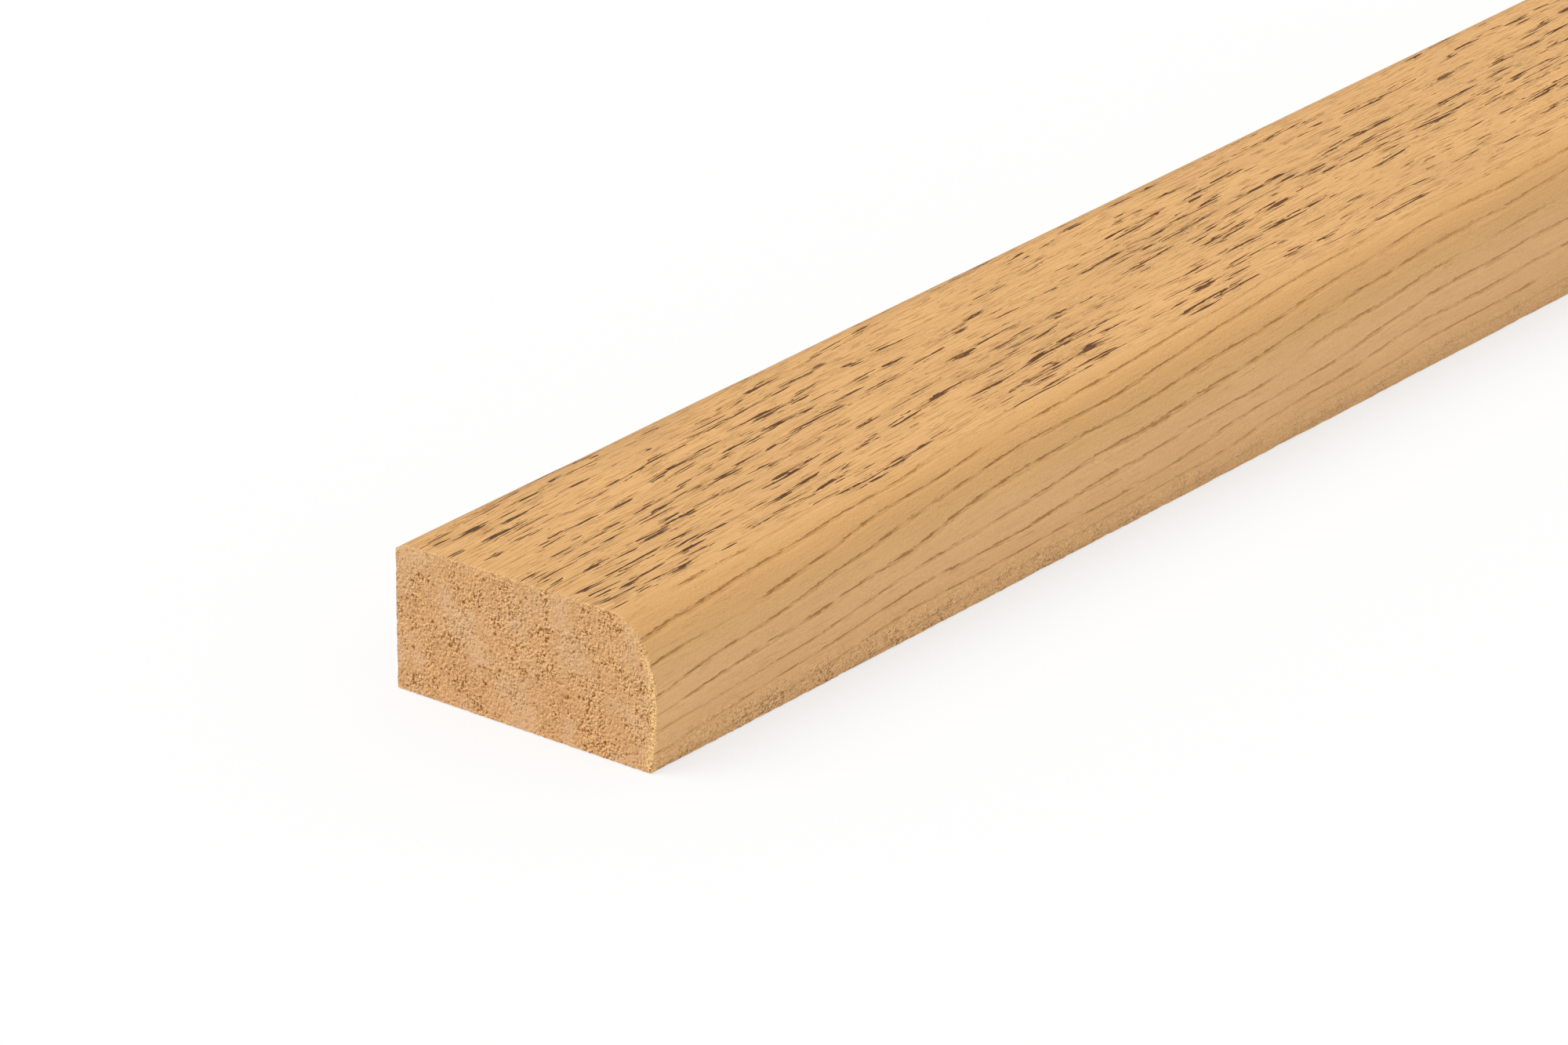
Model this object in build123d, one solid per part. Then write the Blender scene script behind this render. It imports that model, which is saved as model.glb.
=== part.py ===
"""Bullnose trim: one length of moulded edging with a rounded front nose.

The trim is cast in one piece, so it is one solid: a single section carried along its length.
X runs along the length, -Y is the rounded front, +Z is up, and the origin is the middle of the underside.
"""

import os

from build123d import *

# Overall sizes, in millimetres
LENGTH = 2400.0  # stock length, sawn square at both ends
WIDTH = 50.0  # back face to the widest line of the front
THICKNESS = 24.0  # underside to the highest line of the top

# The front: a quarter ellipse from the top down to the widest line, then a face that tucks in below it
NOSE_DEPTH = 9.0  # from the widest line back to where the top starts to turn down
NOSE_HEIGHT = 13.0  # from the top down to the widest line
UNDERCUT = 1.1  # how far the front face tucks in between the widest line and the underside

# The top and its back edge: a slow fall away from the nose, then an eased arris
TOP_FALL = 0.35  # from the start of the nose back to the eased edge
EASE_WIDTH = 2.2  # eased edge, measured across the top
EASE_DROP = 1.0  # eased edge, measured down to the back face


def bullnose_section() -> Sketch:
    """The trim's section, looking along +X: Y runs across the sheet and Z up it."""
    front = -WIDTH / 2
    back = WIDTH / 2
    nose_centre = (front + NOSE_DEPTH, THICKNESS - NOSE_HEIGHT)
    front_foot = (front + UNDERCUT, 0)
    back_foot = (back, 0)
    ease_top = (back - EASE_WIDTH, THICKNESS - TOP_FALL)
    ease_foot = (back, THICKNESS - TOP_FALL - EASE_DROP)

    with BuildSketch(Plane.YZ) as section:
        with BuildLine():
            nose = EllipticalCenterArc(nose_centre, NOSE_DEPTH, NOSE_HEIGHT, start_angle=90, arc_size=90)
            TangentArc(nose @ 1, front_foot, tangent=nose % 1)
            top = TangentArc(nose @ 0, ease_top, tangent=-(nose % 0))
            TangentArc(top @ 1, ease_foot, tangent=top % 1)
            Polyline(front_foot, back_foot, ease_foot)
        make_face()
    return section.sketch


def bullnose_trim() -> Part:
    """The section carried along the stock length, half to each side of the origin."""
    return extrude(bullnose_section(), amount=LENGTH / 2, both=True)


os.makedirs("parts", exist_ok=True)
export_step(bullnose_trim(), "parts/bullnose_trim.step")
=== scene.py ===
"""Bullnose trim, dressed: one cast length of edging with a moulded oak skin and sawn ends.

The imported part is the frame. X runs along the length, -Y is the rounded front and +Z is up, in metres.
One piece stands for the trim: its section is carried along the length, with the moulded relief pressed
into it, and each end is closed by a sawn face.
"""

import logging
from dataclasses import dataclass, field, replace
from enum import IntEnum

import bpy
import numpy as np
from mathutils import Matrix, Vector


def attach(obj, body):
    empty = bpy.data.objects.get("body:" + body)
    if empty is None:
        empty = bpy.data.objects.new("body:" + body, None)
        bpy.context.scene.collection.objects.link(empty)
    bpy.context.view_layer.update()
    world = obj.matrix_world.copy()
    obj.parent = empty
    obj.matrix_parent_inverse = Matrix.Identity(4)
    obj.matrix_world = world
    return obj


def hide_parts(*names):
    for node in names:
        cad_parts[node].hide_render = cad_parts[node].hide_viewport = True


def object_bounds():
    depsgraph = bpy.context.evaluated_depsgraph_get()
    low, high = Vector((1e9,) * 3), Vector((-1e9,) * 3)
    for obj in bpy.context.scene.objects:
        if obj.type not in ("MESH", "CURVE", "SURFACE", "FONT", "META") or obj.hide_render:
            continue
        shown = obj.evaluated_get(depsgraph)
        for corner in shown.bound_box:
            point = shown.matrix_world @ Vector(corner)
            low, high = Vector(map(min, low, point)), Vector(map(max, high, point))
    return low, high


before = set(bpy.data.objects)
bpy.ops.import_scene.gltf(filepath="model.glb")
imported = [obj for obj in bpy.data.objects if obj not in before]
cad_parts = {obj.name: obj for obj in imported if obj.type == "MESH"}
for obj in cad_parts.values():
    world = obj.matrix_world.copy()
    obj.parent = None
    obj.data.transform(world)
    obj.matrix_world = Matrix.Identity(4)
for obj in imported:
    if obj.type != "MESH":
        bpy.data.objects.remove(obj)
cad_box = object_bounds()

Array = np.ndarray
Socket = bpy.types.NodeSocket
Pair = tuple[float, float]
Triple = tuple[float, float, float]
Colour = Triple

MM = 0.001
LENGTH, WIDTH, THICKNESS = cad_box[1] - cad_box[0]
MIDDLE = 0.5  # the middle of a noise, which runs from about 0 to 1
LOG = logging.getLogger("bullnose_trim")

# The names that the mesh and the materials share
GRAIN_MAP, BAKE_MAP = "Grain", "OFBake"
RING, GIRTH, RIM = "ring", "girth", "rim"
CORE_OUTPUTS = ("Tone", "Pits", "Pale", "Height")

# The Mix node's sockets for colours
MIX_SHARE, MIX_FIRST, MIX_SECOND, MIX_RESULT = 0, 6, 7, 2


class Finish(IntEnum):
    """The trim's finishes, in the order of its material slots."""

    SKIN = 0
    SAWN = 1
    CAST = 2


def linear(red: float, green: float, blue: float) -> Colour:
    """A screen colour, 0 to 255, as the linear light that shaders use, by the usual screen curve.

    Args:
        red: red as a screen shows it.
        green: green as a screen shows it.
        blue: blue as a screen shows it.

    Returns:
        The three linear shares, 0 to 1.
    """
    share = np.array([red, green, blue]) / 255
    light = np.where(share <= 0.04045, share / 12.92, ((share + 0.055) / 1.055) ** 2.4)
    return tuple(float(x) for x in light)


def cell_hash(column: Array, row: Array) -> Array:
    """Scrambles a lattice cell's column and row by seven rounds of exclusive-or and turned subtraction.

    Args:
        column: whole numbers.
        row: whole numbers.

    Returns:
        One 32-bit number for each cell.
    """
    seed = np.uint32(0xDEADBEEF + 21)
    mixed = [side.astype(np.int64).astype(np.uint32) + seed for side in (column, row)]
    mixed.append(np.full_like(mixed[0], seed))
    rounds = ((2, 1, 14), (0, 2, 11), (1, 0, 25), (2, 1, 16), (0, 2, 4), (1, 0, 14), (2, 1, 24))
    for into, by, turn in rounds:
        turned = (mixed[by] << np.uint32(turn)) | (mixed[by] >> np.uint32(32 - turn))
        mixed[into] = (mixed[into] ^ mixed[by]) - turned
    return mixed[2]


def gradient_noise(x: Array, y: Array) -> Array:
    """Two-way gradient noise, equal to one layer of the 2D Noise Texture.

    Each lattice corner has a slope picked by its hash. The four corners' slopes are blended across the cell
    by 6t^5 - 15t^4 + 10t^3 of the way along each side.

    Args:
        x: places across the lattice.
        y: places up the lattice.

    Returns:
        The noise, about -1 to 1, in the shape of x.
    """
    column, row = np.floor(x), np.floor(y)
    right, up = x - column, y - row

    def corner(step_x: int, step_y: int) -> Array:
        """The slope of one corner of each cell, read at the place.

        Args:
            step_x: 0 for the cell's left side and 1 for its right.
            step_y: 0 for its lower side and 1 for its upper.

        Returns:
            The slope's height at each place.
        """
        pick = cell_hash(column + step_x, row + step_y) & np.uint32(7)
        across, along = right - step_x, up - step_y
        first = np.where(pick < 4, across, along)
        second = 2 * np.where(pick < 4, along, across)
        return np.where(pick & 1, -first, first) + np.where(pick & 2, -second, second)

    share_x = right**3 * (right * (right * 6 - 15) + 10)
    share_y = up**3 * (up * (up * 6 - 15) + 10)
    low = corner(0, 0) * (1 - share_x) + corner(1, 0) * share_x
    high = corner(0, 1) * (1 - share_x) + corner(1, 1) * share_x
    even_out = 0.6616  # brings the sum of slopes to about -1 to 1, as the texture does
    return even_out * (low * (1 - share_y) + high * share_y)


class Wire:
    """A value, place or colour in a node tree. Values add, subtract and multiply as numbers do."""

    def __init__(self, graph: "Graph", socket: Socket) -> None:
        """Stands for what socket gives in graph's tree."""
        self.graph = graph
        self.socket = socket

    def __add__(self, other: "Wire | float") -> "Wire":
        """Both added."""
        return self.graph.math("ADD", self, other)

    def __sub__(self, other: "Wire | float") -> "Wire":
        """The other taken from this one."""
        return self.graph.math("SUBTRACT", self, other)

    def __rsub__(self, other: float) -> "Wire":
        """This one taken from a number."""
        return self.graph.math("SUBTRACT", other, self)

    def __mul__(self, other: "Wire | float") -> "Wire":
        """Both multiplied."""
        return self.graph.math("MULTIPLY", self, other)

    __radd__ = __add__
    __rmul__ = __mul__

    def larger(self, other: "Wire | float") -> "Wire":
        """The larger of both."""
        return self.graph.math("MAXIMUM", self, other)

    def smaller(self, other: "Wire | float") -> "Wire":
        """The smaller of both."""
        return self.graph.math("MINIMUM", self, other)

    def clamped(self) -> "Wire":
        """This one, held from 0 to 1."""
        return self.graph.math("ADD", self, 0.0, clamp=True)


Value = Wire | float


class Graph:
    """A node tree, with short calls for the nodes that the finishes use."""

    def __init__(self, tree: bpy.types.NodeTree) -> None:
        """Works on tree, whose nodes are made from nothing."""
        self.tree = tree
        self.tree.nodes.clear()

    def add(
        self, kind: str, feeds: dict[int | str, object] | None = None, **settings: object
    ) -> bpy.types.Node:
        """Adds a node.

        Args:
            kind: the node's type name.
            feeds: what goes into its inputs, by their numbers or names.
            settings: the node's own properties.

        Returns:
            The new node.
        """
        node = self.tree.nodes.new(kind)
        for name, value in settings.items():
            setattr(node, name, value)
        for name, value in (feeds or {}).items():
            self.feed(node.inputs[name], value)
        return node

    def feed(self, socket: Socket, value: object) -> None:
        """Links an input to a wire, or sets its value.

        Args:
            socket: the input.
            value: a wire, or a value of the input's own kind.
        """
        if isinstance(value, Wire):
            self.tree.links.new(value.socket, socket)
        else:
            socket.default_value = value

    def wire(self, node: bpy.types.Node, output: int | str = 0) -> Wire:
        """What a node gives at one of its outputs."""
        return Wire(self, node.outputs[output])

    def math(self, operation: str, *values: Value, clamp: bool = False) -> Wire:
        """One sum of up to three values.

        Args:
            operation: the Math node's operation.
            values: its inputs in order.
            clamp: whether the result stays from 0 to 1.

        Returns:
            The result.
        """
        node = self.add("ShaderNodeMath", dict(enumerate(values)), operation=operation, use_clamp=clamp)
        return self.wire(node)

    def blend(self, share: Value, first: Colour | Wire, second: Colour | Wire, mode: str = "MIX") -> Wire:
        """Two colours mixed.

        Args:
            share: how much of the second colour, 0 to 1.
            first: the colour at 0.
            second: the colour at 1.
            mode: the Mix node's blend type.

        Returns:
            The mixed colour.
        """
        first, second = ((*c, 1.0) if isinstance(c, tuple) else c for c in (first, second))
        feeds = {MIX_SHARE: share, MIX_FIRST: first, MIX_SECOND: second}
        return self.wire(self.add("ShaderNodeMix", feeds, data_type="RGBA", blend_type=mode), MIX_RESULT)

    def toned(self, colour: Colour | Wire, tone: Value) -> Wire:
        """A colour made lighter or darker by a tone that is 1 on average."""
        return self.wire(self.add("ShaderNodeVectorMath", {0: colour, "Scale": tone}, operation="SCALE"))

    def scaled(self, place: Wire, scale: Triple, shift: Triple = (0.0, 0.0, 0.0)) -> Wire:
        """A place multiplied by scale, axis by axis, and moved by shift."""
        return self.wire(self.add("ShaderNodeMapping", {"Vector": place, "Scale": scale, "Location": shift}))

    def joined(self, first: Value, second: Value) -> Wire:
        """Two values as the first two parts of a place."""
        return self.wire(self.add("ShaderNodeCombineXYZ", {0: first, 1: second}))

    def noise(self, place: Wire, ways: str, detail: float, roughness: float) -> Wire:
        """A Noise Texture's value at a place that is already scaled.

        Args:
            place: the scaled place.
            ways: "2D" or "3D".
            detail: how many finer layers are added.
            roughness: each finer layer's strength beside the one before.

        Returns:
            The noise, about 0 to 1.
        """
        feeds = {"Vector": place, "Scale": 1.0, "Detail": detail, "Roughness": roughness}
        return self.wire(self.add("ShaderNodeTexNoise", feeds, noise_dimensions=ways))

    def attribute(self, name: str) -> Wire:
        """The value of one of the mesh's own attributes."""
        return self.wire(self.add("ShaderNodeAttribute", attribute_name=name), "Fac")

    def place(self) -> Wire:
        """The piece's own coordinates."""
        return self.wire(self.add("ShaderNodeTexCoord"), "Object")


@dataclass(frozen=True)
class Step:
    """An S-shaped step from low at start to high at end, which meshes and shaders read alike.

    It goes 3t^2 - 2t^3 of the way between the two. Start may be above end.
    """

    start: float
    end: float
    low: float = 0.0
    high: float = 1.0

    def sample(self, value: Array) -> Array:
        """The step on an array."""
        t = np.clip((value - self.start) / (self.end - self.start), 0, 1)
        return self.low + (self.high - self.low) * t * t * (3 - 2 * t)

    def draw(self, value: Wire) -> Wire:
        """The step as a node.

        Args:
            value: what is stepped.

        Returns:
            The stepped value.
        """
        feeds = dict(enumerate((value, self.start, self.end, self.low, self.high)))
        node = value.graph.add("ShaderNodeMapRange", feeds, interpolation_type="SMOOTHSTEP")
        return value.graph.wire(node, "Result")


@dataclass(frozen=True)
class Hump:
    """A rise over one step and a fall over another, multiplied."""

    rise: Step
    fall: Step

    def sample(self, value: Array) -> Array:
        """The hump on an array."""
        return self.fall.sample(value) * self.rise.sample(value)

    def draw(self, value: Wire) -> Wire:
        """The hump as nodes."""
        return self.fall.draw(value) * self.rise.draw(value)


@dataclass(frozen=True)
class Layer:
    """A sheet of two-way noise, stretched along the grain, that meshes and shaders read alike."""

    length: float
    width: float
    detail: int = 0
    roughness: float = 0.5
    shift: Pair = (0.0, 0.0)

    def sample(self, along: Array, across: Array) -> Array:
        """The layer on arrays: noise at (along / length, across / width), with each finer layer twice as
        fine and roughness times as strong, brought to about 0 to 1.

        Args:
            along: places along the grain.
            across: places across the grain.

        Returns:
            The layer's values.
        """
        x, y = along / self.length + self.shift[0], across / self.width + self.shift[1]
        strengths = self.roughness ** np.arange(self.detail + 1)
        finer = [strength * gradient_noise(x * 2**i, y * 2**i) for i, strength in enumerate(strengths)]
        return MIDDLE + MIDDLE * sum(finer) / strengths.sum()

    def draw(self, place: Wire) -> Wire:
        """The layer as nodes, at a place along and across the grain in metres."""
        moved = place.graph.scaled(place, (1 / self.length, 1 / self.width, 1.0), (*self.shift, 0.0))
        return place.graph.noise(moved, "2D", self.detail, self.roughness)


@dataclass(frozen=True)
class Cloud:
    """Three-way noise with lumps of one size along each axis, read in the piece's own coordinates."""

    size: Triple
    detail: int
    roughness: float
    shift: Triple = (0.0, 0.0, 0.0)

    def draw(self, place: Wire) -> Wire:
        """The cloud as nodes, at a place in metres."""
        moved = place.graph.scaled(place, tuple(1 / size for size in self.size), self.shift)
        return place.graph.noise(moved, "3D", self.detail, self.roughness)


@dataclass(frozen=True)
class Section:
    """The trim's section: the frame gives its width and thickness, and the nose and edges are the part's."""

    width: float = WIDTH
    thickness: float = THICKNESS
    nose_depth: float = 9.0 * MM
    nose_height: float = 13.0 * MM
    undercut: float = 1.1 * MM
    top_fall: float = 0.35 * MM
    ease_width: float = 2.2 * MM
    ease_drop: float = 1.0 * MM
    points: int = 2000

    def tangent_arc(self, start: Array, heading: Array, end: Array) -> Array:
        """A circular arc that leaves start along heading and passes through end.

        Its centre lies square to the heading, at the chord squared over twice the chord's offset from it.

        Args:
            start: the arc's first point.
            heading: its direction there.
            end: its last point.

        Returns:
            Points along the arc.
        """
        chord = end - start
        heading = heading / np.linalg.norm(heading)
        aside = chord - (chord @ heading) * heading
        aside /= np.linalg.norm(aside)
        radius = (chord @ chord) / (2 * (chord @ aside))
        turn = 2 * np.arctan2(chord @ aside, chord @ heading)
        angle = np.linspace(0, turn, self.points)[:, None]
        return start + radius * (heading * np.sin(angle) + aside * (1 - np.cos(angle)))

    def grained(self) -> Array:
        """The moulded part of the outline, from the back edge over the top and nose to the front foot.

        Returns:
            Points (Y, Z) in that order.
        """
        front, back = -self.width / 2, self.width / 2
        nose_top = np.array([front + self.nose_depth, self.thickness])
        ease_top = np.array([back - self.ease_width, self.thickness - self.top_fall])
        ease_foot = ease_top + (self.ease_width, -self.ease_drop)
        top = self.tangent_arc(nose_top, np.array([1.0, 0.0]), ease_top)
        ease = self.tangent_arc(ease_top, top[-1] - top[-2], ease_foot)
        angle = np.linspace(np.pi / 2, np.pi, self.points)
        nose = nose_top + np.c_[self.nose_depth * np.cos(angle), self.nose_height * (np.sin(angle) - 1)]
        widest = np.array([front, self.thickness - self.nose_height])
        foot = np.array([front + self.undercut, 0.0])
        face = self.tangent_arc(widest, np.array([0.0, -1.0]), foot)
        return np.concatenate([ease[::-1], top[-2::-1], nose[1:], face[1:]])

    def plain(self) -> list[Array]:
        """The outline's two flat runs.

        Returns:
            The underside from the front foot back, and the back face upwards, as (Y, Z) points.
        """
        back = self.width / 2
        foot, heel = (-back + self.undercut, 0.0), (back, 0.0)
        crest = (back, self.thickness - self.top_fall - self.ease_drop)
        return [np.array([foot, heel]), np.array([heel, crest])]


def spaced(length: float, places: Array, gaps: Array, steps: int = 100_000) -> Array:
    """Stations along a line whose gaps grow and shrink smoothly.

    The running sum of 1 / gap counts the stations, and each lies where that count reaches a whole number.

    Args:
        length: the line's length.
        places: points along it where the gap is given.
        gaps: the gap at each of them.
        steps: how finely the sum is taken.

    Returns:
        The stations, from 0 to length.
    """
    fine = np.linspace(0, length, steps + 1)
    density = 1 / np.interp(fine, places, gaps)
    count = np.r_[0, np.cumsum((density[1:] + density[:-1]) / 2 * np.diff(fine))]
    return np.interp(np.linspace(0, count[-1], round(count[-1]) + 1), count, fine)


def walked(points: Array, stations: Array | None = None) -> Array:
    """A polyline's running length, or its points at given lengths.

    Args:
        points: the polyline.
        stations: lengths along it, or None.

    Returns:
        The running length at each point, or the points at the stations.
    """
    run = np.r_[0, np.cumsum(np.linalg.norm(np.diff(points, axis=0), axis=1))]
    if stations is None:
        return run
    return np.stack([np.interp(stations, run, axis) for axis in points.T], 1)


@dataclass(frozen=True)
class OakGrain:
    """Where the moulded oak's growth lines, pores and worn strip lie on the unrolled face.

    Places are (along, girth): along runs from the sawn end that the photo shows, and girth from the back
    edge over the top and nose down to the front foot. A layer whose width has no unit is read by the growth
    line's number instead of girth.
    """

    # The run of the grain
    slope: float = 0.045
    extra_slope: float = 0.065
    level_out: float = 70 * MM
    ring_gap: float = 3.7 * MM
    strand_lean: float = 0.45
    wander_lean: float = 0.7
    wander: Pair = (3.4 * MM, 1.6 * MM)
    slow: Layer = Layer(80 * MM, 16 * MM)
    quick: Layer = Layer(26 * MM, 6 * MM, shift=(9.1, 0.0))
    ragged: Layer = Layer(4.0 * MM, 0.7 * MM, 2, 0.65)
    ragged_share: float = 0.24
    row_start: float = 0.02

    # The growth lines of the nose and front
    edge: Layer = Layer(20 * MM, 4 * MM, shift=(3.3, 0.0))
    edge_wander: float = 3.0 * MM
    front: Step = Step(40.0 * MM, 44.0 * MM)
    presence: Layer = Layer(36 * MM, 0.193, 1, 0.5, (0.0, 0.37))
    line_shown: Step = Step(0.22, 0.42)
    torn: Layer = Layer(1.3 * MM, 0.42 * MM, 1, 0.6, (3.1, 0.0))
    broken: Layer = Layer(4.0 * MM, 0.345, 1, 0.5, (2.2, 0.4))
    strand: Layer = Layer(7.0 * MM, 0.30 * MM, 1, 0.5, (5.0, 0.0))
    groove: Hump = Hump(Step(0.0, 0.06), Step(0.42, 0.14))
    groove_depth: float = 0.06 * MM

    # The pores of the top
    chain: Layer = Layer(24 * MM, 0.27, 1, 0.5, (1.7, 0.63))
    chain_shown: Step = Step(0.38, 0.60)
    bundle: Layer = Layer(13 * MM, 1.3 * MM, 1, 0.5, (4.4, 2.2))
    patch: Layer = Layer(40 * MM, 12 * MM, shift=(1.4, 7.1))
    pore: Layer = Layer(7.5 * MM, 0.41 * MM, 1, 0.5)
    nick: Layer = Layer(1.3 * MM, 0.20 * MM, 1, 0.5, (6.2, 0.0))
    fleck: Layer = Layer(6.5 * MM, 0.23 * MM, 1, 0.5, (7.7, 1.3))
    hair: Layer = Layer(16 * MM, 0.26 * MM, 2, 0.6, (2.1, 0.0))
    mottle: Layer = Layer(34 * MM, 9 * MM, 2, 0.5, (0.0, 6.0))
    trough: Hump = Hump(Step(0.0, 0.12), Step(0.56, 0.26))
    trough_depth: float = 0.06 * MM

    # The worn strip above the front foot
    wear: Layer = Layer(9 * MM, 3 * MM, 2, 0.6, (2.7, 4.1))
    wear_wander: float = 3.4 * MM
    worn: Step = Step(63.6 * MM, 67.6 * MM)
    worn_depth: float = 0.03 * MM
    worn_roughness: float = 0.10 * MM
    worn_fineness: Pair = (8.0, 4.0)

    def drift(self, along: Array, girth: Array) -> tuple[Array, Array]:
        """How far the grain has moved across the face: its slope, steeper near the end, and its wander.

        The slope starts at slope + extra_slope and falls to slope as the exponential of -along / level_out.

        Args:
            along: places along the length.
            girth: places round the face.

        Returns:
            The slope's part and the wander's part.
        """
        wander = self.wander[0] * (self.slow.sample(along, girth) - MIDDLE)
        wander += self.wander[1] * (self.quick.sample(along, girth) - MIDDLE)
        steady = self.slope * along
        steady += self.extra_slope * self.level_out * (1 - np.exp(-along / self.level_out))
        return steady, wander

    def ring(self, along: Array, girth: Array) -> Array:
        """The growth line's number, whole on each line: (girth + drift) / ring_gap."""
        return (girth + sum(self.drift(along, girth))) / self.ring_gap

    def lean(self, along: Array, girth: Array) -> Array:
        """Girth moved by part of the drift, so that the pores run nearly along the length."""
        steady, wander = self.drift(along, girth)
        return girth + self.strand_lean * steady + self.wander_lean * wander

    def relief(self, along: Array, girth: Array) -> Array:
        """Depth of the moulded hollows.

        It is the sum of three parts: a groove just past each growth line that shows on the nose and front,
        a shallow trough past each chain of pores on the top, and a worn strip above the front foot that is
        roughened by a finer noise.

        Args:
            along: places along the length.
            girth: places round the face.

        Returns:
            Depth below the section, in metres, never under 0.
        """
        ring, lean = self.ring(along, girth), self.lean(along, girth)
        turn = ring + self.ragged_share * (self.ragged.sample(along, lean) - MIDDLE)
        turn -= np.floor(turn)
        row = np.floor(ring + self.row_start)
        front = self.front.sample(girth + self.edge_wander * (self.edge.sample(along, girth) - MIDDLE))
        groove = self.groove.sample(turn) * front * self.line_shown.sample(self.presence.sample(along, row))
        trough = self.trough.sample(turn) * (1 - front)
        trough *= self.chain_shown.sample(self.chain.sample(along, row))
        worn = self.worn.sample(girth + self.wear_wander * (self.wear.sample(along, girth) - MIDDLE))
        finer_along, finer_round = self.worn_fineness
        rough = self.wear.sample(along * finer_along, girth * finer_round)
        depth = self.groove_depth * groove + self.trough_depth * trough
        return depth + worn * (self.worn_depth + self.worn_roughness * rough)


@dataclass(frozen=True)
class CoreGranules:
    """The filled resin inside: small granules, clumps of open pits and smoother places between them."""

    granule: Cloud = Cloud((0.43 * MM,) * 3, 1, 0.55)
    # Painted light and shade: the granules are read again this far towards the light
    to_light: Triple = (-0.05 * MM, 0.09 * MM, 0.10 * MM)
    grit: Cloud = Cloud((0.16 * MM,) * 3, 1, 0.6)
    clump: Cloud = Cloud((5.0 * MM,) * 3, 2, 0.6)
    opened: Step = Step(0.44, 0.64)
    calm_size: float = 0.58
    open_size: float = 0.55
    grit_height: float = 0.18
    # Low places of the granules, darkened as painted shade
    hollow: Step = Step(0.36, 0.22)
    hollow_open: float = 0.08
    pit_gap: float = 1.0 * MM
    pit_chosen: Step = Step(0.70, 0.82)
    pit_open: float = 0.20
    pit_reach: Step = Step(0.42, 0.18)
    pit_ragged: float = 0.55
    height_tone: float = 0.5
    # How strongly the height's fall towards the light is painted into the tone as light and shade
    painted_shading_tone: float = 1.55
    grit_tone: float = 0.22
    # Painted shade: where the tone is dark, the pit colour is laid on
    shaded: Step = Step(0.92, 0.62, 0.0, 0.5)
    # Where the tone is bright, pale grains, partly painted highlights
    pale: Step = Step(1.06, 1.36)
    brightest: float = 1.25

    def group(self) -> bpy.types.NodeTree:
        """The granules as a shader node group: a place in, and tone, pits, pale grains and height out, all
        but height with painted light and shade in them.

        The height is a two-layer noise with finer grit on it. Its low places, as painted shade, and some of
        the cells of a scattered pattern, as dark specks, are pits. Its fall towards the light is painted into
        the tone as light and shade; where that tone is dark it adds painted shade to the pits, and where it
        is bright it makes pale grains, which are partly painted highlights. A broad noise opens the granules
        up in clumps and calms them between.

        Returns:
            The node group.
        """
        tree = bpy.data.node_groups.new("core_granules", "ShaderNodeTree")
        graph = Graph(tree)
        tree.interface.new_socket("Place", in_out="INPUT", socket_type="NodeSocketVector")
        for name in CORE_OUTPUTS:
            tree.interface.new_socket(name, in_out="OUTPUT", socket_type="NodeSocketFloat")
        place = graph.wire(graph.add("NodeGroupInput"), "Place")

        # The granules here and a little towards the light, for the painted light and shade
        here = self.granule.draw(place)
        moved = tuple(step / size for step, size in zip(self.to_light, self.granule.size))
        there = replace(self.granule, shift=moved).draw(place)
        grit = self.grit.draw(place) - MIDDLE
        opened = self.opened.draw(self.clump.draw(place))
        size = self.calm_size + self.open_size * opened
        height = size * (here - MIDDLE) + self.grit_height * grit

        cell_place = graph.scaled(place, (1 / self.pit_gap,) * 3)
        feeds = {"Vector": cell_place, "Scale": 1.0}
        cells = graph.add("ShaderNodeTexVoronoi", feeds, voronoi_dimensions="3D", feature="F1")
        chosen = self.pit_chosen.draw(graph.wire(cells, "Color") + self.pit_open * opened)
        reach = self.pit_reach.draw(graph.wire(cells, "Distance") + self.pit_ragged * grit)
        # Pits: the low places as painted shade, and dark specks in chosen cells
        pits = self.hollow.draw(here - self.hollow_open * opened).larger(reach * chosen)

        tone = 1.0 + self.height_tone * height + self.grit_tone * grit
        # Painted light and shade: lighter where the height falls towards the light, darker where it rises
        tone = tone + self.painted_shading_tone * (size * (here - there))
        # Painted shade: dark tone also takes the pit colour
        pits = pits.larger(self.shaded.draw(tone))
        results = (tone.smaller(self.brightest), pits, self.pale.draw(tone), height)
        graph.add("NodeGroupOutput", dict(zip(CORE_OUTPUTS, results)))
        return tree


def core_wires(graph: Graph, granules: bpy.types.NodeTree) -> tuple[Wire, ...]:
    """Places the granule group in a material, read by the piece's own coordinates.

    Args:
        graph: the material's tree.
        granules: the group.

    Returns:
        Tone, pits and pale grains, with painted light and shade in them, and height.
    """
    node = graph.add("ShaderNodeGroup", {"Place": graph.place()}, node_tree=granules)
    return tuple(graph.wire(node, name) for name in CORE_OUTPUTS)


def started(name: str, roughness: float, shine: float) -> tuple[bpy.types.Material, Graph, bpy.types.Node]:
    """A new material with its shader, not yet put out.

    Args:
        name: the material's name.
        roughness: the shader's roughness.
        shine: its specular level.

    Returns:
        The material, its graph and its shader node.
    """
    material = bpy.data.materials.new(name)
    material.use_nodes = True
    graph = Graph(material.node_tree)
    shader = graph.add("ShaderNodeBsdfPrincipled", {"Roughness": roughness, "Specular IOR Level": shine})
    return material, graph, shader


def coated(graph: Graph, shader: bpy.types.Node, colour: Wire, height: Wire, relief: float) -> None:
    """Gives a shader its colour and bump, and puts it out as the material's surface.

    Args:
        graph: the material's tree.
        shader: its shader.
        colour: the base colour.
        height: the bump's height, where 1 stands relief proud.
        relief: that distance, in metres.
    """
    bump = graph.add("ShaderNodeBump", {"Distance": relief, "Height": height})
    graph.feed(shader.inputs["Base Color"], colour)
    graph.feed(shader.inputs["Normal"], graph.wire(bump))
    graph.add("ShaderNodeOutputMaterial", {"Surface": graph.wire(shader)})


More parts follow.
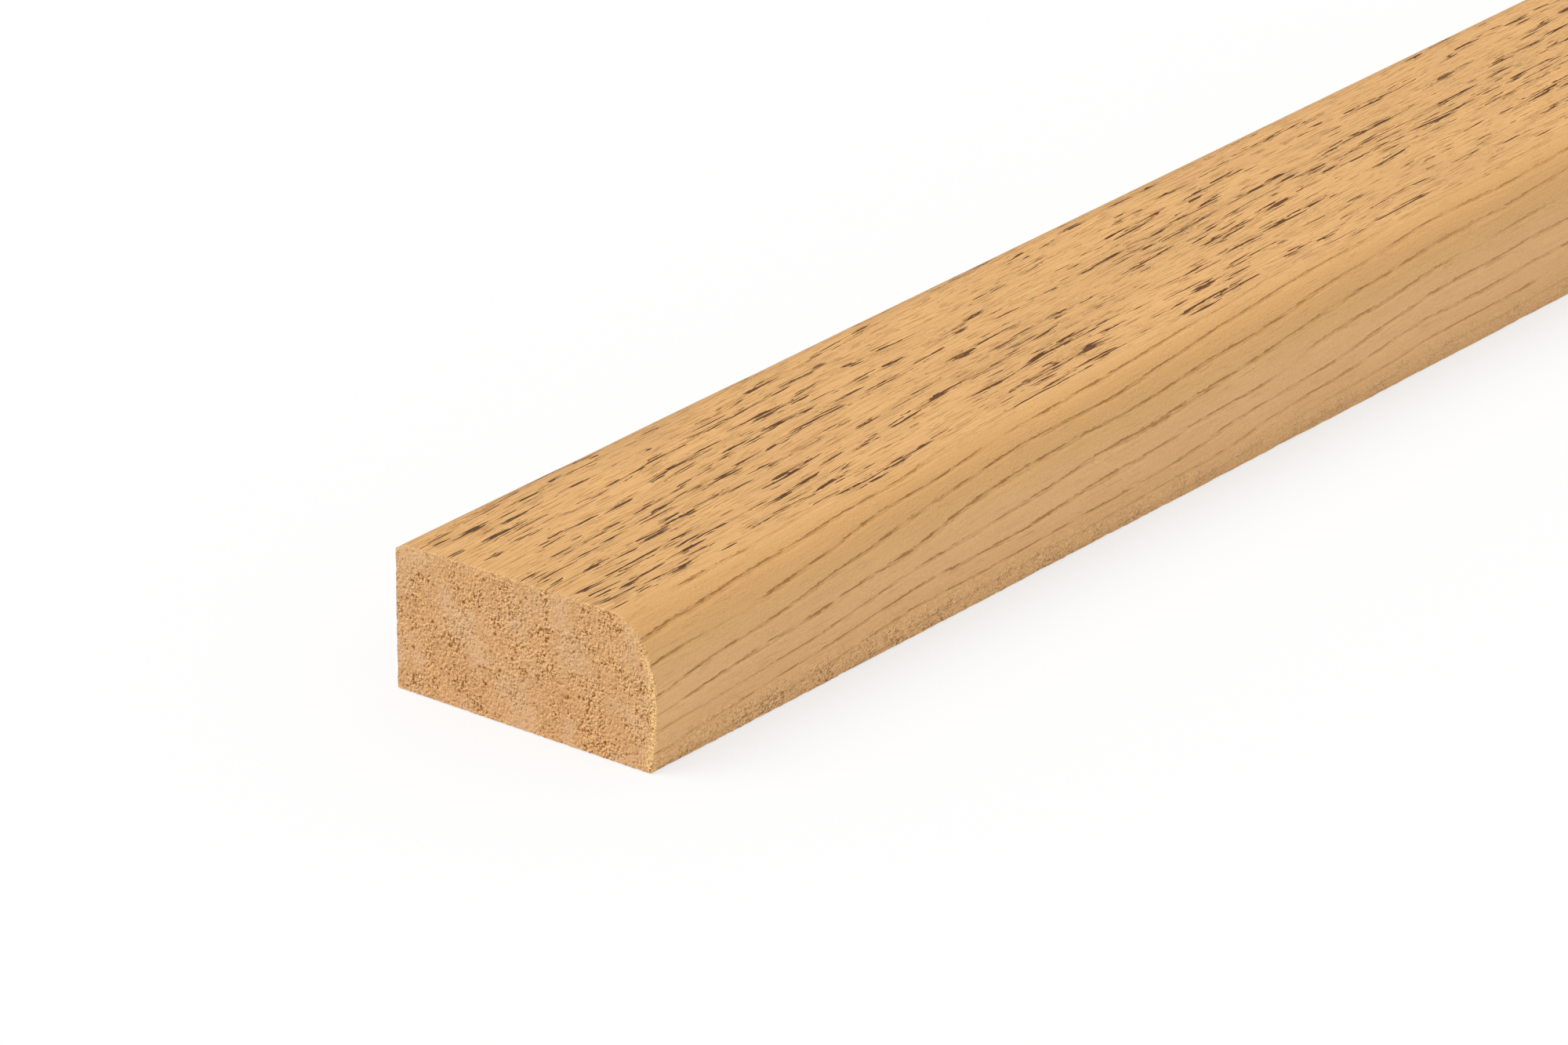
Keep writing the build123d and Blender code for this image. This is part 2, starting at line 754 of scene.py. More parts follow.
@dataclass(frozen=True)
class SkinPlace:
    """Where a point of the skin lies, as its material reads it from the mesh.

    Layers are read at one of three places: grained, which leans with the pores, flat, which follows the
    girth, and row, where each growth line has a run of its own. Ragged roughens the lines' edges, and front
    is 0 on the top and 1 on the nose and front.
    """

    graph: Graph
    grain: OakGrain
    along: Wire
    girth: Wire
    ring: Wire
    grained: Wire
    flat: Wire
    row: Wire
    ragged: Wire
    front: Wire

    @classmethod
    def read(cls, graph: Graph, grain: OakGrain) -> "SkinPlace":
        """Reads the mesh's map and attributes, and works out what the skin's marks share.

        Args:
            graph: the skin's tree.
            grain: where the grain lies.

        Returns:
            The place.
        """
        grained = graph.wire(graph.add("ShaderNodeUVMap", uv_map=GRAIN_MAP))
        along = graph.wire(graph.add("ShaderNodeSeparateXYZ", {0: grained}))
        girth, ring = graph.attribute(GIRTH), graph.attribute(RING)
        flat = graph.joined(along, girth)
        row = graph.joined(along, graph.math("FLOOR", ring + grain.row_start))
        ragged = grain.ragged.draw(grained) - MIDDLE
        front = grain.front.draw(girth + grain.edge_wander * (grain.edge.draw(flat) - MIDDLE))
        return cls(graph, grain, along, girth, ring, grained, flat, row, ragged, front)


@dataclass(frozen=True)
class GrowthLines:
    """The growth lines of the nose and front: soft streaks with thin, broken lips along them."""

    torn_share: float = 0.11
    ragged_share: float = 0.05
    line: Hump = Hump(Step(0.0, 0.03), Step(0.28, 0.10))
    streak_strand: Step = Step(0.44, 0.60, 0.10, 1.10)
    lip_thinning: float = 0.18
    lip_rise: Step = Step(0.0, 0.025)
    lip_fall: Step = Step(0.015, -0.030)
    lip_shown: Step = Step(0.28, 0.47)
    lip_fade: Step = Step(220 * MM, 60 * MM, 0.6, 1.0)
    lip_strand: Step = Step(0.36, 0.56, 0.40, 1.0)
    # Painted highlight just past each line, on the groove's lower wall
    glow: Hump = Hump(Step(0.12, 0.20), Step(0.36, 0.24))

    def draw(self, at: SkinPlace) -> tuple[Wire, Wire, Wire]:
        """The lines as nodes: steps on how far a place lies past its growth line.

        Args:
            at: the place.

        Returns:
            The streaks, the lips and a painted highlight beside them, on the groove's lower wall.
        """
        grain = at.grain
        shown = grain.line_shown.draw(grain.presence.draw(at.row)) * at.front
        strand, broken = grain.strand.draw(at.grained), grain.broken.draw(at.row)
        torn = self.torn_share * (grain.torn.draw(at.grained) - MIDDLE)
        past = at.graph.math("FRACT", at.ring + self.ragged_share * at.ragged + torn)
        streak = (self.line.draw(past) * shown * self.streak_strand.draw(strand)).clamped()
        lip = self.lip_fall.draw(past - self.lip_thinning * broken) * self.lip_rise.draw(past) * shown
        lip = lip * self.lip_shown.draw(broken) * self.lip_fade.draw(at.along) * self.lip_strand.draw(strand)
        # The glow is a painted highlight
        return streak, lip, self.glow.draw(past) * shown


@dataclass(frozen=True)
class Pores:
    """The open pores of the top, dark where they gather, and the faint flecks between them.

    A pore is where its layer rises over a bar. The bar is lower where pores gather, and higher on the front
    and beside the back edge and the cut.
    """

    patch_share: float = 0.35
    bundle_shown: Step = Step(0.71, 0.90)
    crowd: Step = Step(80 * MM, 10 * MM, 0.66, 1.10)
    chain_share: float = 0.85
    bar: float = 0.793
    front_bar: float = 0.5
    gather_bar: float = 0.290
    nick_bar: float = 0.18
    back_bar: Step = Step(10 * MM, 2.5 * MM, 0.0, 0.09)
    cut_bar: Step = Step(3.5 * MM, 1.0 * MM, 0.0, 0.12)
    shown: Step = Step(0.0, 0.018)
    deep: Step = Step(0.010, 0.055)
    deep_gather: Step = Step(0.05, 0.45)
    slate_gather: Step = Step(0.50, 0.95)
    slate_fade: Step = Step(100 * MM, 20 * MM, 0.3, 1.0)
    fleck_bar: float = 0.665
    fleck_share: float = 0.12
    fleck_shown: Step = Step(0.0, 0.03)
    # Painted highlight: the pore is read again this far back, to light the place just past its edge
    highlight_offset: float = 0.14 * MM

    def draw(self, at: SkinPlace) -> tuple[Wire, Wire, Wire, Wire, Wire]:
        """The pores as nodes.

        Args:
            at: the place.

        Returns:
            The pores, their deepest parts, how slate-grey those are, the flecks, and the pores' pale rims,
            which are a painted highlight just past each pore towards the front.
        """
        grain = at.grain
        past = at.graph.math("FRACT", at.ring + grain.ragged_share * at.ragged)
        chain = grain.trough.draw(past) * grain.chain_shown.draw(grain.chain.draw(at.row))
        bundle = grain.bundle.draw(at.grained) + self.patch_share * grain.patch.draw(at.grained)
        bundle = self.bundle_shown.draw(bundle) * self.crowd.draw(at.along)
        gather = (self.chain_share * chain + bundle).clamped()
        nick = grain.nick.draw(at.grained) - MIDDLE
        bar = self.bar + self.front_bar * at.front - self.gather_bar * gather - self.nick_bar * nick
        bar = bar + self.back_bar.draw(at.girth) + self.cut_bar.draw(at.along)
        over = grain.pore.draw(at.grained) - bar
        pore = self.shown.draw(over)
        deep = self.deep.draw(over) * self.deep_gather.draw(gather)
        slate = self.slate_gather.draw(gather) * self.slate_fade.draw(at.along)
        fleck_bar = self.fleck_bar + self.fleck_share * (at.front - gather - nick)
        fleck = self.fleck_shown.draw(grain.fleck.draw(at.grained) - fleck_bar)
        # Painted highlight just past each pore towards the front, as if its wall caught the light
        above = at.graph.scaled(at.grained, (1.0, 1.0, 1.0), (0.0, -self.highlight_offset, 0.0))
        rim = (self.shown.draw(grain.pore.draw(above) - bar) - pore).clamped()
        return pore, deep, slate, fleck, rim


@dataclass(frozen=True)
class BareEdges:
    """Core that shows through the skin: the worn strip above the front foot, and the rims of the cuts."""

    colour: Colour = linear(234, 187, 131)
    # The pit colour takes the granules' dark specks and painted shade, and the pale colour their pale grains
    # and painted highlights
    pit: Colour = linear(152, 93, 32)
    pale: Colour = linear(248, 208, 156)
    cut_widening: Step = Step(12 * MM, 2 * MM, 0.0, -1.2 * MM)
    cut: Step = Step(0.7 * MM, 0.2 * MM)
    cut_ragged: float = 1.2 * MM
    cut_share: float = 0.7
    fresh: Step = Step(150 * MM, 50 * MM, 0.35, 1.0)
    tone_share: float = 1.2
    pit_and_shade_share: float = 0.50
    pale_and_highlight_share: float = 0.6

    def draw(self, at: SkinPlace, core: tuple[Wire, ...], length: float) -> tuple[Wire, Wire]:
        """The bare places as nodes.

        Args:
            at: the place.
            core: the granules' tone, pits and pale grains, with painted light and shade in them, and height.
            length: the trim's length.

        Returns:
            How bare a place is, and the core's colour there.
        """
        tone, pits, pale, height = core
        wear = at.grain.wear_wander * (at.grain.wear.draw(at.flat) - MIDDLE)
        worn = at.grain.worn.draw(at.girth + wear + self.cut_widening.draw(at.along))
        from_end = at.along.smaller(length - at.along)
        bare = worn.larger(self.cut_share * self.cut.draw(from_end + self.cut_ragged * height))
        fresh = self.fresh.draw(at.along)
        # The core's tone carries painted light and shade, its pits painted shade and its pale grains painted
        # highlights
        colour = at.graph.toned(self.colour, 1.0 + self.tone_share * fresh * (tone - 1.0))
        colour = at.graph.blend(self.pit_and_shade_share * fresh * pits, colour, self.pit)
        return bare, at.graph.blend(self.pale_and_highlight_share * fresh * pale, colour, self.pale)


@dataclass(frozen=True)
class OakSkin:
    """The moulded and stained oak face."""

    grain: OakGrain
    length: float
    lines: GrowthLines = field(default_factory=GrowthLines)
    pores: Pores = field(default_factory=Pores)
    edges: BareEdges = field(default_factory=BareEdges)
    roughness: float = 0.6
    shine: float = 0.12

    # The base, and what the marks multiply it by
    top: Colour = linear(222, 172, 112)
    front: Colour = linear(227, 180, 125)
    turn_down: Step = Step(47 * MM, 58 * MM)
    # Darker and greyer over the last few millimetres of girth before the back edge
    back_edge: Colour = (0.80, 0.80, 0.84)
    back_reach: Step = Step(4.0 * MM, 0.5 * MM)
    fleck: Colour = (0.57, 0.46, 0.33)
    fleck_share: float = 0.60
    streak: Colour = (0.86, 0.81, 0.74)
    lip: Colour = (0.67, 0.57, 0.44)
    pore: Colour = (0.46, 0.35, 0.21)
    pore_share: float = 0.95
    deep: Colour = (0.40, 0.34, 0.22)
    slate: Colour = (0.34, 0.37, 0.52)

    # How much each mark lightens the base: the pore rims and the glow past the growth lines are painted
    # highlights, and the grit brings the core's tone with its painted light and shade
    front_calm: float = 0.6
    hair_tone: float = 0.50
    mottle_tone: float = 0.18
    pore_highlight_tone: float = 0.14
    groove_highlight_tone: float = 0.06
    grit_tone: float = 0.10
    front_grit_and_shading_tone: float = 0.12

    # How far each mark stands proud or lies low, as shares of the relief
    relief: float = 0.20 * MM
    pore_low: float = 0.45
    streak_low: float = 0.35
    lip_low: float = 0.30
    fleck_low: float = 0.25
    hair_height: float = 0.9
    core_height: float = 2.0
    skin_grit: float = 0.10
    streak_grit: float = 0.35

    def material(self, granules: bpy.types.NodeTree) -> bpy.types.Material:
        """The face's material: the grain's marks over the base, and the core where the skin is gone.

        Args:
            granules: the core's node group, for the worn strip, the cut edges and the skin's own grit.

        Returns:
            The material.
        """
        material, graph, shader = started("moulded_oak_skin", self.roughness, self.shine)
        at = SkinPlace.read(graph, self.grain)
        core = core_wires(graph, granules)
        core_tone, core_height = core[0], core[-1]
        streak, lip, glow = self.lines.draw(at)
        pore, deep, slate, fleck, rim = self.pores.draw(at)
        bare, core_colour = self.edges.draw(at, core, self.length)
        calm = 1.0 - self.front_calm * at.front
        fleck = fleck * calm
        hair = (self.grain.hair.draw(at.grained) - MIDDLE) * calm
        mottle = (self.grain.mottle.draw(at.grained) - MIDDLE) * calm

        tone = 1.0 + self.mottle_tone * mottle + self.hair_tone * hair
        # Painted highlights: past each pore, and past each growth line
        tone = tone + self.pore_highlight_tone * rim + self.groove_highlight_tone * glow
        # The core's tone, with its painted light and shade, as grit on the skin
        tone = tone + (core_tone - 1.0) * (self.grit_tone + self.front_grit_and_shading_tone * at.front)
        colour = graph.toned(graph.blend(self.turn_down.draw(at.girth), self.top, self.front), tone)
        for share, tint in (
            (self.back_reach.draw(at.girth), self.back_edge),
            (self.fleck_share * fleck, self.fleck),
            (streak, self.streak),
            (lip, self.lip),
            (self.pore_share * pore, self.pore),
            (deep, graph.blend(slate, self.deep, self.slate)),
        ):
            colour = graph.blend(share, colour, tint, "MULTIPLY")

        sandy = bare.larger(self.skin_grit + self.streak_grit * streak)
        height = self.core_height * (core_height * sandy) + self.hair_height * hair
        height = height - self.pore_low * (pore + deep) - self.streak_low * streak
        height = height - self.lip_low * lip - self.fleck_low * fleck
        coated(graph, shader, graph.blend(bare, colour, core_colour), height, self.relief)
        return material


@dataclass(frozen=True)
class BareCore:
    """Core that shows: sawn open at the ends, or cast against the mould at the back and underside."""

    name: str
    colour: Colour
    # The pit colour also takes the granules' painted shade
    pit: Colour
    relief: float
    pit_and_shade_share: float
    tone_share: float = 1.0
    roughness: float = 0.9
    shine: float = 0.10
    broad: Cloud = Cloud((1 / 110,) * 3, 2, 0.5)
    broad_tone: float = 0.14
    # The pale colour takes the pale grains, which are partly painted highlights
    pale: Colour = linear(240, 192, 135)
    pale_and_highlight_share: float = 0.8

    # Smoother, paler patches
    smoothed: float = 0.0
    smooth_colour: Colour = linear(212, 170, 127)
    patch: Cloud = Cloud((8.0 * MM,) * 3, 2, 0.55, (0.0, 4.3, 1.7))
    patch_shown: Step = Step(0.44, 0.66)
    patch_calm: float = 0.60
    open_gain: float = 0.20

    # Upright marks of the saw
    saw_marks: float = 0.0
    mark: Cloud = Cloud((1 / 900, 1 / 2600, 1 / 190), 1, 0.6)
    mark_height: float = 2.0

    # Crumbs of skin along the cut's moulded edge
    crumbs: float = 0.0
    crumb: Colour = linear(242, 195, 132)
    crumb_bit: Cloud = Cloud((1 / 2400,) * 3, 1, 0.6)
    crumb_reach: Step = Step(1.3 * MM, 0.1 * MM, 0.0, 0.25)
    crumb_shown: Step = Step(0.58, 0.80)
    crumb_round: Hump = Hump(Step(42 * MM, 56 * MM, 0.30, 1.0), Step(70 * MM, 69 * MM))
    crumb_height: float = 0.3

    def material(self, granules: bpy.types.NodeTree) -> bpy.types.Material:
        """The core's material: granules in varied tones with painted light and shade, dark pits with painted
        shade, pale grains that are partly painted highlights, and smoother patches, upright saw marks
        where it is cut, and bright crumbs of skin along the cut's moulded edge.

        Args:
            granules: the core's node group.

        Returns:
            The material.
        """
        material, graph, shader = started(self.name, self.roughness, self.shine)
        core_tone, pits, pale, height = core_wires(graph, granules)
        place = graph.place()
        patch = self.smoothed * self.patch_shown.draw(self.patch.draw(place))
        rough = (1.0 + self.open_gain * self.smoothed) - self.patch_calm * patch
        share = self.tone_share * rough
        marks = self.saw_marks * (self.mark.draw(place) - MIDDLE)
        # The granules' tone brings their painted light and shade
        tone = 1.0 + share * (core_tone - 1.0) + marks
        tone = tone + self.broad_tone * (self.broad.draw(place) - MIDDLE)
        colour = graph.toned(graph.blend(patch, self.colour, self.smooth_colour), tone)
        # Pits, with painted shade, and pale grains, partly painted highlights
        colour = graph.blend(self.pit_and_shade_share * rough * pits, colour, self.pit)
        colour = graph.blend(self.pale_and_highlight_share * share * pale, colour, self.pale)

        bits = self.crumb_bit.draw(place) + self.crumb_reach.draw(graph.attribute(RIM))
        crumbs = self.crumbs * self.crumb_shown.draw(bits) * self.crumb_round.draw(graph.attribute(GIRTH))
        colour = graph.blend(crumbs, colour, graph.toned(self.crumb, tone))
        height = height + self.mark_height * marks + self.crumb_height * crumbs
        coated(graph, shader, colour, height, self.relief)
        return material


@dataclass(frozen=True)
class SawnEnd:
    """One sawn face: the cut's rim drawn in ring by ring to the section's centre, and pitted."""

    rings: int
    centre: Pair = (0.0, 11.6 * MM)
    coarse: Layer = Layer(1.1 * MM, 1.1 * MM, 2, 0.7, (11.0, 3.0))
    coarse_shown: Step = Step(0.45, 0.80)
    clump: Layer = Layer(5.0 * MM, 5.0 * MM, 1, 0.5, (2.0, 6.0))
    clump_shown: Step = Step(0.38, 0.62)
    calm_middle: Step = Step(0.6 * MM, 3.0 * MM)
    set_back: float = 0.03 * MM
    pit_depth: float = 0.22 * MM

    def face(self, rim: Array, end: float) -> Array:
        """The face's vertices inside the rim.

        Ring k is the rim scaled about the centre by 1 - k / rings, and the last ring is one point. Each
        vertex lies inwards by set_back, and by pit_depth more where two noises make a pit.

        Args:
            rim: the vertices round the cut.
            end: the X of the cut, below 0 at the near end.

        Returns:
            The vertices ring by ring, and last the centre.
        """
        share = 1 - np.arange(1, self.rings)[:, None, None] / self.rings
        centre = np.array(self.centre)
        inner = centre + (rim[None, :, 1:] - centre) * share
        flat = np.concatenate([inner.reshape(-1, 2), centre[None]])
        pitted = self.coarse_shown.sample(self.coarse.sample(*flat.T))
        pitted *= self.clump_shown.sample(self.clump.sample(*flat.T))
        pitted *= self.calm_middle.sample(np.linalg.norm(flat - centre, axis=1))
        return np.c_[end - np.sign(end) * (self.set_back + self.pit_depth * pitted), flat]

    def inward(self, thickness: float) -> Array:
        """How far each ring lies from the rim, as its share of half the thickness."""
        return np.arange(1, self.rings + 1) / self.rings * thickness / 2


@dataclass(frozen=True)
class BullnoseTrim:
    """The trim as one closed piece: the section carried along the length, and two sawn faces."""

    section: Section = field(default_factory=Section)
    grain: OakGrain = field(default_factory=OakGrain)
    ends: tuple[SawnEnd, SawnEnd] = (SawnEnd(rings=36), SawnEnd(rings=10))
    length: float = LENGTH
    near_length: float = 262.0 * MM
    hard_edge: float = 0.7  # radians

    # Spacing of the rows in millimetres, from the near end and then from the far end
    near_places: tuple[float, ...] = (0, 1.2, 120, 125, near_length / MM, 480)
    near_gaps: tuple[float, ...] = (0.25, 1.0, 1.0, 1.7, 1.7, 30)
    far_places: tuple[float, ...] = (100, 2, 0)
    far_gaps: tuple[float, ...] = (30, 2.0, 0.5)

    # Spacing round the section
    face_gap: float = 0.42 * MM
    under_gap: float = 0.62 * MM
    back_gap: float = 1.1 * MM

    # Relief of the skin, which fades out where the rows lie too far apart to carry it
    relief_fade: Step = Step(1.3 * near_length, near_length)
    fray: Layer = Layer(0.8 * MM, 0.4 * MM, 1)
    fray_shown: Step = Step(0.35, 0.75)
    fray_reach: Step = Step(0.9 * MM, 0.0)
    fray_depth: float = 0.14 * MM
    chip: Layer = Layer(1.3 * MM, 1.3 * MM, 2, 0.6, (3.0, 8.0))
    chip_shown: Step = Step(0.45, 0.75)
    chip_reach: Step = Step(0.8 * MM, 0.0)
    chip_depth: float = 0.10 * MM

    # The sheet for baking: the strips' lower and upper edges, where the far end starts and a margin all round
    strips: tuple[Pair, ...] = ((0.0, 0.535), (0.545, 0.675), (0.685, 0.815), (0.825, 1.0))
    far_end_start: float = 0.5
    margin: float = 0.004

    def outline(self) -> tuple[Array, Array, int]:
        """Stations round the section.

        Returns:
            The points (Y, Z), the girth at each, and how many belong to the grained face.
        """
        points, girth, run = [], [], 0.0
        lines = (self.section.grained(), *self.section.plain())
        for line, gap in zip(lines, (self.face_gap, self.under_gap, self.back_gap)):
            size = walked(line)[-1]
            stations = spaced(size, np.array([0.0, size]), np.full(2, gap))
            points.append(walked(line, stations)[:-1])
            girth.append(run + stations[:-1])
            run += size
        return np.concatenate(points), np.concatenate(girth), len(points[0])

    def skin(self) -> tuple[Array, Array, Array, int]:
        """The section carried along the length, moved inwards by its relief.

        A vertex is the section's point at its girth, less its depth along the section's outward normal. The
        depth is the grain's relief, and small bites out of the cut edges and the front foot.

        Returns:
            Vertices in rows of one section each, the stations along the length, the girth round each row,
            and how many columns the grained face has.
        """
        points, girth, grained = self.outline()
        places = np.r_[np.array(self.near_places) * MM, self.length - np.array(self.far_places) * MM]
        along = spaced(self.length, places, np.array(self.near_gaps + self.far_gaps) * MM)
        ahead = np.roll(points, -1, 0) - np.roll(points, 1, 0)
        normal = np.c_[ahead[:, 1], -ahead[:, 0]] / np.linalg.norm(ahead, axis=1)[:, None]
        along_grid, girth_grid = np.meshgrid(along, girth, indexing="ij")
        depth = np.zeros_like(along_grid)
        face = np.s_[:, : grained + 1]
        depth[face] = self.grain.relief(along_grid[face], girth_grid[face])
        depth *= self.relief_fade.sample(along_grid)
        fray = self.fray_shown.sample(self.fray.sample(girth_grid, along_grid))
        from_end = np.minimum(along_grid, self.length - along_grid)
        depth += self.fray_depth * fray * self.fray_reach.sample(from_end)
        chip = self.chip_shown.sample(self.chip.sample(along_grid, girth_grid))
        from_foot = np.abs(girth_grid - girth[grained])
        depth += self.chip_depth * chip * self.chip_reach.sample(from_foot)
        place = points[None] - depth[..., None] * normal[None]
        rows = np.broadcast_to(along[:, None, None] - self.length / 2, (*depth.shape, 1))
        return np.concatenate([rows, place], 2), along, girth, grained

    def build(self) -> bpy.types.Object:
        """Makes the piece's mesh, with its maps and attributes.

        Returns:
            The piece, at the origin.
        """
        skin, along, girth, grained = self.skin()
        rows, columns = skin.shape[:2]
        vertices = [skin.reshape(-1, 3)]
        index = np.arange(rows * columns).reshape(rows, columns)
        quads, triangles = [ring_quads(index)], []
        finish = [np.tile(np.where(np.arange(columns) < grained, Finish.SKIN, Finish.CAST), rows - 1)]
        first = rows * columns
        for end, side, row in zip(self.ends, (-1, 1), (0, rows - 1)):
            inner = end.face(skin[row], side * self.length / 2)
            vertices.append(inner)
            ring = np.r_[index[row], first + np.arange(len(inner) - 1)].reshape(end.rings, columns)
            fan = np.stack([ring[-1], np.roll(ring[-1], -1), np.full(columns, first + len(inner) - 1)], 1)
            quads.append(ring_quads(ring)[:, ::side])
            triangles.append(fan[:, ::side])
            first += len(inner)
        sawn = sum(len(faces) for faces in quads[1:] + triangles)
        finish.append(np.full(sawn, Finish.SAWN))
        mesh = bpy.data.meshes.new("moulded_trim")
        fill_mesh(mesh, np.concatenate(vertices), np.concatenate(quads), np.concatenate(triangles))
        mesh.polygons.foreach_set("material_index", np.concatenate(finish).astype(np.int32))
        self.mark(mesh, along, girth)
        mesh.polygons.foreach_set("use_smooth", np.ones(len(mesh.polygons), bool))
        mesh.set_sharp_from_angle(angle=self.hard_edge)
        piece = bpy.data.objects.new("moulded_trim", mesh)
        bpy.context.scene.collection.objects.link(piece)
        return piece

    def mark(self, mesh: bpy.types.Mesh, along: Array, girth: Array) -> None:
        """Writes the grain's places onto the mesh: its map, growth line, girth and distance from the cut.

        Args:
            mesh: the piece's mesh, with the skin's rows first and then each end's rings and centre.
            along: stations along the length.
            girth: stations round the section.
        """
        along_grid, girth_grid = np.meshgrid(along, girth, indexing="ij")
        spare = np.zeros(len(mesh.vertices) - along_grid.size)
        rounds, depths = [girth_grid.ravel()], [np.zeros(girth_grid.size)]
        for end in self.ends:
            inward = end.inward(self.section.thickness)
            rounds += [np.tile(girth, end.rings - 1), np.zeros(1)]
            depths += [np.repeat(inward[:-1], len(girth)), inward[-1:]]
        fields = {
            RING: np.r_[self.grain.ring(along_grid, girth_grid).ravel(), spare],
            GIRTH: np.concatenate(rounds),
            RIM: np.concatenate(depths),
        }
        for name, values in fields.items():
            attribute = mesh.attributes.new(name, "FLOAT", "POINT")
            attribute.data.foreach_set("value", values.astype(np.float32))
        lean = self.grain.lean(along_grid, girth_grid)
        places = np.c_[np.r_[along_grid.ravel(), spare], np.r_[lean.ravel(), spare]]
        corners = np.empty(len(mesh.loops), np.int32)
        mesh.loops.foreach_get("vertex_index", corners)
        sheets = {GRAIN_MAP: places[corners], BAKE_MAP: self.bake_places(mesh, along, girth, corners)}
        for name, spots in sheets.items():
            mesh.uv_layers.new(name=name).data.foreach_set("uv", spots.astype(np.float32).ravel())

    def bake_places(self, mesh: bpy.types.Mesh, along: Array, girth: Array, corners: Array) -> Array:
        """Lays the faces out on a square sheet, without overlaps, for baking.

        The skin is cut into three lengths, each unrolled across the sheet in a strip of its own: the near one
        is wide, and the other two are narrow. The sawn faces lie side by side above them.

        Args:
            mesh: the piece's mesh, with the skin's quads first.
            along: stations along the length.
            girth: stations round the section.
            corners: the vertex number of each face corner.

        Returns:
            A place on the sheet for each corner.
        """
        turn = np.r_[girth, girth[-1] + self.back_gap] / (girth[-1] + self.back_gap)
        far = (self.near_length + self.length) / 2
        cuts = np.r_[0, np.searchsorted(along, (self.near_length, far)), len(along) - 1]
        strip = np.searchsorted(cuts[1:-1], np.arange(len(along) - 1), side="right")
        start, end = along[cuts[strip]], along[cuts[strip + 1]]
        run = np.stack([along[:-1], along[:-1], along[1:], along[1:]], 1)
        run = (run - start[:, None]) / (end - start)[:, None]
        rise = np.stack([turn[:-1], turn[1:], turn[1:], turn[:-1]], 1)
        low, high = np.array(self.strips).T[:, strip]
        rise = low[:, None, None] + (high - low)[:, None, None] * rise[None]
        skin = np.stack([np.broadcast_to(run[:, None, :], rise.shape), rise], 3).reshape(-1, 2)
        places = np.empty(len(mesh.vertices) * 3)
        mesh.vertices.foreach_get("co", places)
        x, y, z = places.reshape(-1, 3)[corners[len(skin) :]].T
        low, high = self.strips[-1]
        size = (high - low) / self.section.thickness
        across = (y + self.section.width / 2) * size + np.where(x > 0, self.far_end_start, 0.0)
        ends = np.c_[across, low + z * size]
        return self.margin + (1 - 2 * self.margin) * np.concatenate([skin, ends])

    def dress(self, piece: bpy.types.Object) -> None:
        """Gives the piece its three finishes, in the order of Finish.

        Args:
            piece: the trim's piece.
        """
        sawn = BareCore(
            name="sawn_core",
            colour=linear(206, 159, 110),
            pit=linear(138, 85, 30),
            relief=0.36 * MM,
            pit_and_shade_share=0.9,
            saw_marks=0.08,
            crumbs=1.0,
            smoothed=1.0,
        )
        cast = BareCore(
            name="cast_core",
            colour=linear(206, 161, 114),
            pit=linear(150, 102, 56),
            relief=0.12 * MM,
            pit_and_shade_share=0.35,
            tone_share=0.45,
        )
        finishes = {Finish.SKIN: OakSkin(self.grain, self.length), Finish.SAWN: sawn, Finish.CAST: cast}
        granules = CoreGranules().group()
        for finish in Finish:
            piece.data.materials.append(finishes[finish].material(granules))


def ring_quads(index: Array) -> Array:
    """The quads between neighbouring rows of closed rings.

    Args:
        index: vertex numbers, one ring to a row.

    Returns:
        Four vertex numbers for each quad, rings first and then along.
    """
    beside = np.roll(index, -1, 1)
    return np.stack([index[:-1], beside[:-1], beside[1:], index[1:]], 2).reshape(-1, 4)


def fill_mesh(mesh: bpy.types.Mesh, vertices: Array, quads: Array, triangles: Array) -> None:
    """Puts vertices and faces into a mesh, quads first.

    Args:
        mesh: an empty mesh.
        vertices: one place a row.
        quads: four vertex numbers a row.
        triangles: three vertex numbers a row.
    """
    corners = np.r_[quads.ravel(), triangles.ravel()]
    starts = np.r_[np.arange(len(quads)) * 4, quads.size + np.arange(len(triangles)) * 3]
    mesh.vertices.add(len(vertices))
    mesh.loops.add(len(corners))
    mesh.polygons.add(len(starts))
    mesh.vertices.foreach_set("co", vertices.astype(np.float32).ravel())
    mesh.loops.foreach_set("vertex_index", corners.astype(np.int32))
    mesh.polygons.foreach_set("loop_start", starts.astype(np.int32))
    mesh.update(calc_edges=True)


def stood(name: str, data: bpy.types.ID, axes: tuple[Array, Array, Array], place: Array) -> bpy.types.Object:
    """Stands a lamp or camera in the scene.

    Args:
        name: its name.
        data: the lamp or camera.
        axes: its right, its up and the way that its back faces.
        place: where it stands.

    Returns:
        The new object.
    """
    holder = bpy.data.objects.new(name, data)
    turn = np.eye(4)
    turn[:3] = np.stack([*axes, place], 1)
    holder.matrix_world = Matrix(turn.tolist())
    bpy.context.scene.collection.objects.link(holder)
    return holder


@dataclass(frozen=True)
class Lamp:
    """A soft lamp, far off: which way it lies, how strong it is and how wide it looks, in radians."""

    name: str
    towards: Triple
    strength: float
    softness: float
    distance: float = 3.0

    def light(self) -> None:
        """Stands the lamp with its back to where it lies and its right side level."""
        lamp = bpy.data.lights.new(self.name, "SUN")
        lamp.energy = self.strength
        lamp.angle = self.softness
        back = np.array(self.towards) / np.linalg.norm(self.towards)
        aside = np.cross((0.0, 0.0, 1.0), back)
        aside /= np.linalg.norm(aside)
        stood(self.name, lamp, (aside, np.cross(back, aside), back), back * self.distance)


